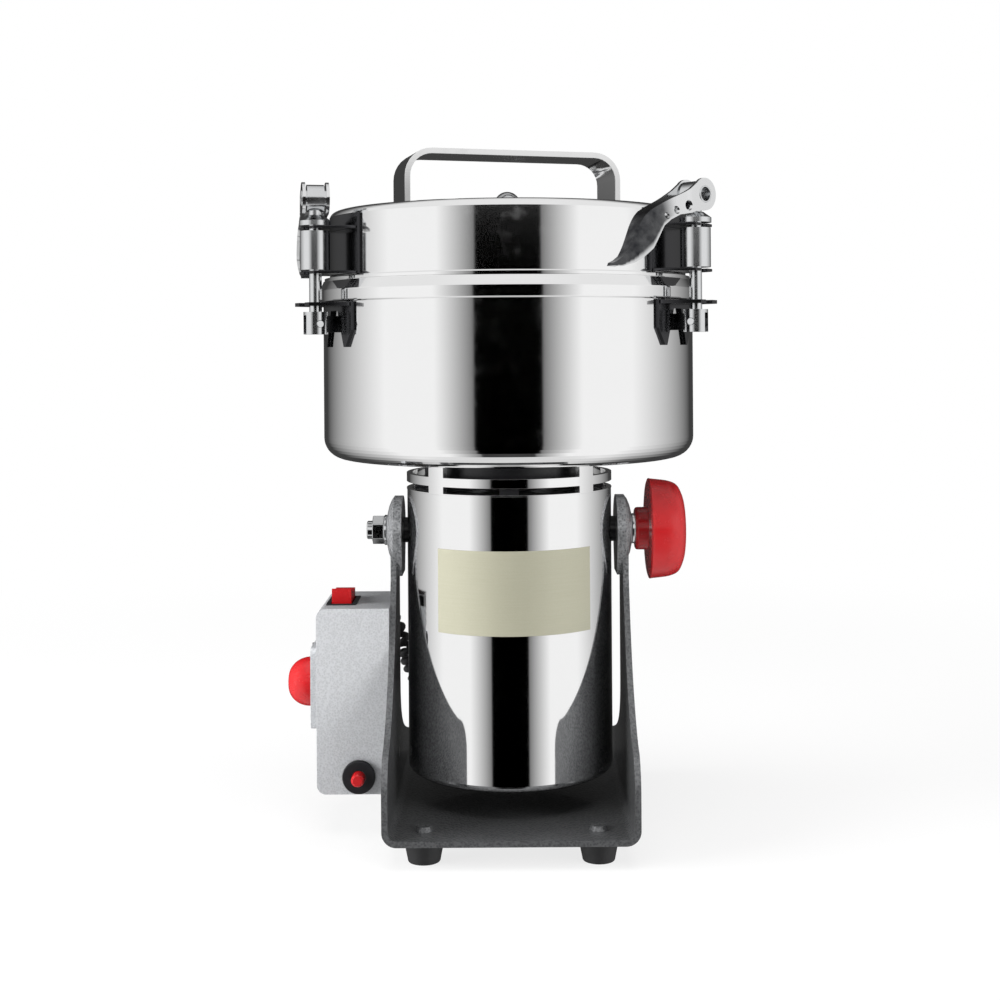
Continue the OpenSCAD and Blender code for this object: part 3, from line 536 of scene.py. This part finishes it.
# Millimetres that each piece's edges are rounded over
SOFT_EDGES = {
    "base_frame": 0.6, "timer_plate": 0.7, "rocker_housing": 0.3, "rocker_button": 0.5, "breaker_body": 0.5,
    "reset_button": 0.4, "box_glands": 0.4, "neck_ring": 0.25, "name_plate": 0.15, "handle": 0.85,
    "lid_fasteners": 0.3, "bowl_brackets": 0.3, "lid_brackets": 0.3, "bracket_pins": 0.2, "rubber_feet": 0.5,
    "foot_screws": 0.2, "pivot_studs": 0.5, "pivot_fasteners": 0.35,
    **{f"{side}_{part}": width for side in ("right", "left", "rear")
       for part, width in (("rod", 0.35), ("lever_pin", 0.2))},
}
CLAMP_TURN = {"right": -31.5, "left": 208.5, "rear": 88.5}      # degrees about the axis
LEVER_TURN = -106.2       # degrees from a clamp's direction to its lever's
ROD_AT = 90               # millimetres from the axis to a rod
EYE_Z = 269.2             # height of a lever's eye
# Back and lower edge of a lever: (distance from the eye, height over the eye)
LEVER_BACK = [(0, 6.6), (5.2, 4.2), (14, -0.8), (25, -5.2), (31, -8.3), (36.5, -13.6), (40, -20.8), (44.5, -26.6),
              (50, -29.3)]
LEVER_LOW = [(0, -6.6), (8.3, -8.1), (15.2, -9.1), (20.8, -11.4), (24.8, -14), (28.2, -19), (31, -23.2),
             (35.6, -26.7), (39.5, -28.9), (50, -30.6)]


def ease(x, low, high):
    """0 below low, 1 above high, and smooth between them."""
    x = np.clip((x - low) / (high - low), 0, 1)
    return x * x * (3 - 2 * x)


def make_lever(side):
    """A lever whose cheeks lean in towards its back and close in towards its tip. With s along the lever, t across
    it and rise going from 0 at the lower edge to 1 at the back, t turns into
    t * (1 - 0.36 * ease(s, 8, 22) * rise) * (1 - 0.62 * ease(s, 28, 49))."""
    clamp = math.radians(CLAMP_TURN[side])
    turn = clamp + math.radians(LEVER_TURN)
    along, across = np.array([math.cos(turn), math.sin(turn)]), np.array([-math.sin(turn), math.cos(turn)])
    eye = ROD_AT * np.array([math.cos(clamp), math.sin(clamp)]) + AXIS[:2]
    cuts = [((*(eye + at * along) * MM, 0), (*along, 0)) for at in range(8, 50, 2)]
    mesh = merged(side + "_lever", cuts)
    points = np.array([v.co for v in mesh.vertices]) / MM
    s, t, z = (points[:, :2] - eye) @ along, (points[:, :2] - eye) @ across, points[:, 2] - EYE_Z
    back, low = (np.interp(s, *np.array(line).T) for line in (LEVER_BACK, LEVER_LOW))
    rise = np.clip((z - low) / np.maximum(back - low, 0.5), 0, 1)
    narrow = (1 - 0.36 * ease(s, 8, 22) * rise) * (1 - 0.62 * ease(s, 28, 49))
    points[:, :2] = eye + s[:, None] * along + (t * narrow)[:, None] * across
    mesh.vertices.foreach_set("co", (points * MM).ravel())
    # far and rise place the painted dark reflection of lever_steel
    for name, values in (("far", ease(s, 16, 26)), ("rise", rise)):
        mesh.attributes.new(name, "FLOAT", "POINT").data.foreach_set("value", values)
    mesh.update()
    return soften(side + "_lever", 0.3, 2, 40, mesh=mesh)


def soften_all():
    """Rounds the edges of the pieces in SOFT_EDGES, of the box shell and of the three levers."""
    for name, width in SOFT_EDGES.items():
        soften(name, width, 3 if name in ("base_frame", "timer_plate", "handle") else 2)
    soften("box_shell", 1.1, 4, where=box_rims)
    for side in CLAMP_TURN:
        make_lever(side)


soften_all()

# ---- knobs ----

PIVOT_Z = 127.5
# (radius, distance along the knob's axis, how far the corner is rounded)
KNOB = [(0, 55.0, 0), (9.3, 55.0, 1.4), (9.3, 60.7, 0.4), (20.6, 60.7, 0.3), (22, 61.2, 0.3), (21.8, 62, 0.3),
        (21.0, 69.5, 2.2), (19.4, 73.8, 2.2), (13.5, 76.4, 3.0), (0, 76.8, 0)]


TIMER_Z = 61.2
TIMER_FACE = 85.9
TIMER_DOME = [(0, 0.65, 0), (10.6, 0.65, 0.3), (10.6, 3.6, 1.6), (9.3, 7.6, 2.4), (5.6, 11.1, 2.6), (0, 11.7, 0)]


def make_hand_knob():
    points, faces = turned(drop(KNOB), (1, 0, 0), (0, 0, PIVOT_Z))
    return add_piece("hand_knob_turned", placed(points), faces, "red_plastic", "hand_knob", ["lock_knob"])


def make_timer_knob():
    points, faces = turned(drop(TIMER_DOME, 8), (-1, 0, 0), (-TIMER_FACE, 0, TIMER_Z), 80)
    return add_piece("timer_knob_turned", placed(points), faces, "red_plastic", "timer", ["timer_knob"])


make_hand_knob()
make_timer_knob()

# ---- curly cord ----

CORD_ROUTE = [(-57.5, 26.6, 88), (-57.5, 31, 87.6), (-55, 35.5, 83), (-51.5, 36, 76), (-49, 36.8, 68),
              (-46.8, 41, 60), (-44.6, 43, 54), (-40, 43.6, 49.8), (-33, 43.8, 48.5), (-28.16, 43.36, 48),
              (-26.2, 40.34, 48)]
CORD_TURNS = 14
CORD_COIL = 2.45      # radius of the coil's middle line
CORD_WIRE = 1.5       # radius of the wire


def make_curly_cord():
    """A coil about the cord's route: wire(t) = route(t) + coil * swell(t) * (cos 2 pi n t, sin 2 pi n t) across it.
    The coil shrinks to nothing at both ends, where the wire goes into its glands."""
    count = CORD_TURNS * 28
    route = smooth_path(CORD_ROUTE, count) + AXIS
    u, v = frames(route)
    t = np.linspace(0, 1, count)
    swell = np.clip(np.minimum(t, 1 - t) / 0.09, 0, 1)
    swell = (swell * swell * (3 - 2 * swell))[:, None]
    turn = (2 * np.pi * CORD_TURNS * t)[:, None]
    line = route + CORD_COIL * swell * (np.cos(turn) * u + np.sin(turn) * v)
    points, faces = tube(line * MM, CORD_WIRE * MM, 10)
    cord = add_piece("curly_cord_coil", points, faces, "black_rubber", None, ["curly_cord"])
    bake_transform(cord, "base", "head", tuple(placed(CORD_ROUTE[2])), tuple(placed(CORD_ROUTE[-2])))
    tuple(line[0] * MM)
    [tuple(p * MM) for p in line]


make_curly_cord()

# ---- studio ----

# What polished metal shows, by its direction from the front in degrees: a black flag, a white card on each side with
# a soft inner edge, and a dark back
FLAG_END = 20
CARD_FULL = 45
CARD_END = 80
BACK = 150
STUDIO = [(0, 0.0), (FLAG_END, 0.0), (FLAG_END + 1, 0.2), (CARD_FULL, 0.95), (CARD_END, 0.95), (BACK, 0.05)]


def make_world():
    """White to the camera, an even soft light on the object, and the studio's cards in its reflections."""
    world = bpy.data.worlds.new("studio")
    bpy.context.scene.world = world
    look = Finish("studio", world)
    look.tree.nodes.clear()
    way = look.node("ShaderNodeTexCoord", out="Generated")
    parts = look.node("ShaderNodeSeparateXYZ", {}, [way]).socket.node
    x, y, z = (Value(look, parts.outputs[i]) for i in range(3))
    turn = x.math("ARCTAN2", x.math("ABSOLUTE", x), y.math("MULTIPLY", y, -1.0)) * (180 / math.pi)
    ramp = look.node("ShaderNodeValToRGB", {"stops": [(a / 180, g) for a, g in STUDIO]}, [turn / 180])
    high = z.math("ABSOLUTE", z).step(0.72, 0.95)
    seen = look.mix(high, ramp, (0.72, 0.72, 0.72))
    above = z.step(0.105, 0.13) * (1 - turn.step(95, 130))
    mirrored = look.mix(above, seen, (0.84, 0.84, 0.84))
    path = look.node("ShaderNodeLightPath").socket.node
    camera, glossy = Value(look, path.outputs["Is Camera Ray"]), Value(look, path.outputs["Is Glossy Ray"])
    soft = look.mix(0.16, (0.0, 0.0, 0.0), seen)
    colour = look.mix(glossy, soft, mirrored)
    colour = look.mix(camera, colour, (1.0, 1.0, 1.0))
    shade = look.node("ShaderNodeBackground", {}, {"Color": colour, "Strength": 1.0})
    out = look.tree.nodes.new("ShaderNodeOutputWorld")
    look.tree.links.new(shade.socket, out.inputs[0])


def make_floor():
    """A wide pale floor. It keeps the mill's shadow, and metal doesn't show it."""
    side = 6.0
    mesh = bpy.data.meshes.new("floor")
    mesh.from_pydata([(-side, -side, 0), (side, -side, 0), (side, side, 0), (-side, side, 0)], [], [(0, 1, 2, 3)])
    floor = bpy.data.objects.new("floor", mesh)
    bpy.context.scene.collection.objects.link(floor)
    look = Finish("floor")
    look.look(base_color=(0.86, 0.86, 0.86), roughness=0.9)
    path = look.node("ShaderNodeLightPath").socket.node
    camera = Value(look, path.outputs["Is Camera Ray"])
    glow = look.node("ShaderNodeEmission", {}, {"Color": (1.0, 1.0, 1.0), "Strength": 1.0})
    at = look.node("ShaderNodeTexCoord", out="Object")
    far = look.node("ShaderNodeVectorMath", {"operation": "LENGTH"}, [at], out="Value").step(0.2, 0.75)
    both = look.node("ShaderNodeMixShader", {}, [camera * (far * 0.22 + 0.78)])
    look.tree.links.new(look.shader.outputs[0], both.socket.node.inputs[1])
    look.tree.links.new(glow.socket, both.socket.node.inputs[2])
    out = next(n for n in look.tree.nodes if n.type == "OUTPUT_MATERIAL")
    look.tree.links.new(both.socket, out.inputs[0])
    mesh.materials.append(look.made)
    floor.visible_glossy = False


def soft_lamp(name, place, aim, size, power):
    data = bpy.data.lights.new(name, "AREA")
    data.shape, data.size, data.energy = "SQUARE", size, power
    lamp = bpy.data.objects.new(name, data)
    lamp.location = place
    lamp.rotation_euler = (Vector(aim) - Vector(place)).to_track_quat("-Z", "Y").to_euler()
    lamp.visible_glossy = False
    bpy.context.scene.collection.objects.link(lamp)


make_world()
make_floor()
MIDDLE = placed([0, 0, 150])
soft_lamp("left_lamp", (-1.3, -0.45, 0.5), MIDDLE, 0.9, 36)
soft_lamp("right_lamp", (1.2, -0.8, 0.5), MIDDLE, 0.9, 16)
soft_lamp("top_lamp", (0, -0.3, 1.5), MIDDLE, 1.0, 16)


def keep_out_of_reflections(names):
    """Polished steel beside these pieces shows only the studio."""
    for piece in bpy.context.scene.objects:
        if piece.name in names:
            piece.visible_glossy = False


keep_out_of_reflections(["box_shell_soft", "hand_knob_turned", "name_plate_soft", "rocker_button_soft",
                         "timer_knob_turned", "reset_button_soft", "knob_insert", "right_lever_soft",
                         "left_lever_soft"])
bpy.context.scene.view_settings.view_transform = "Standard"
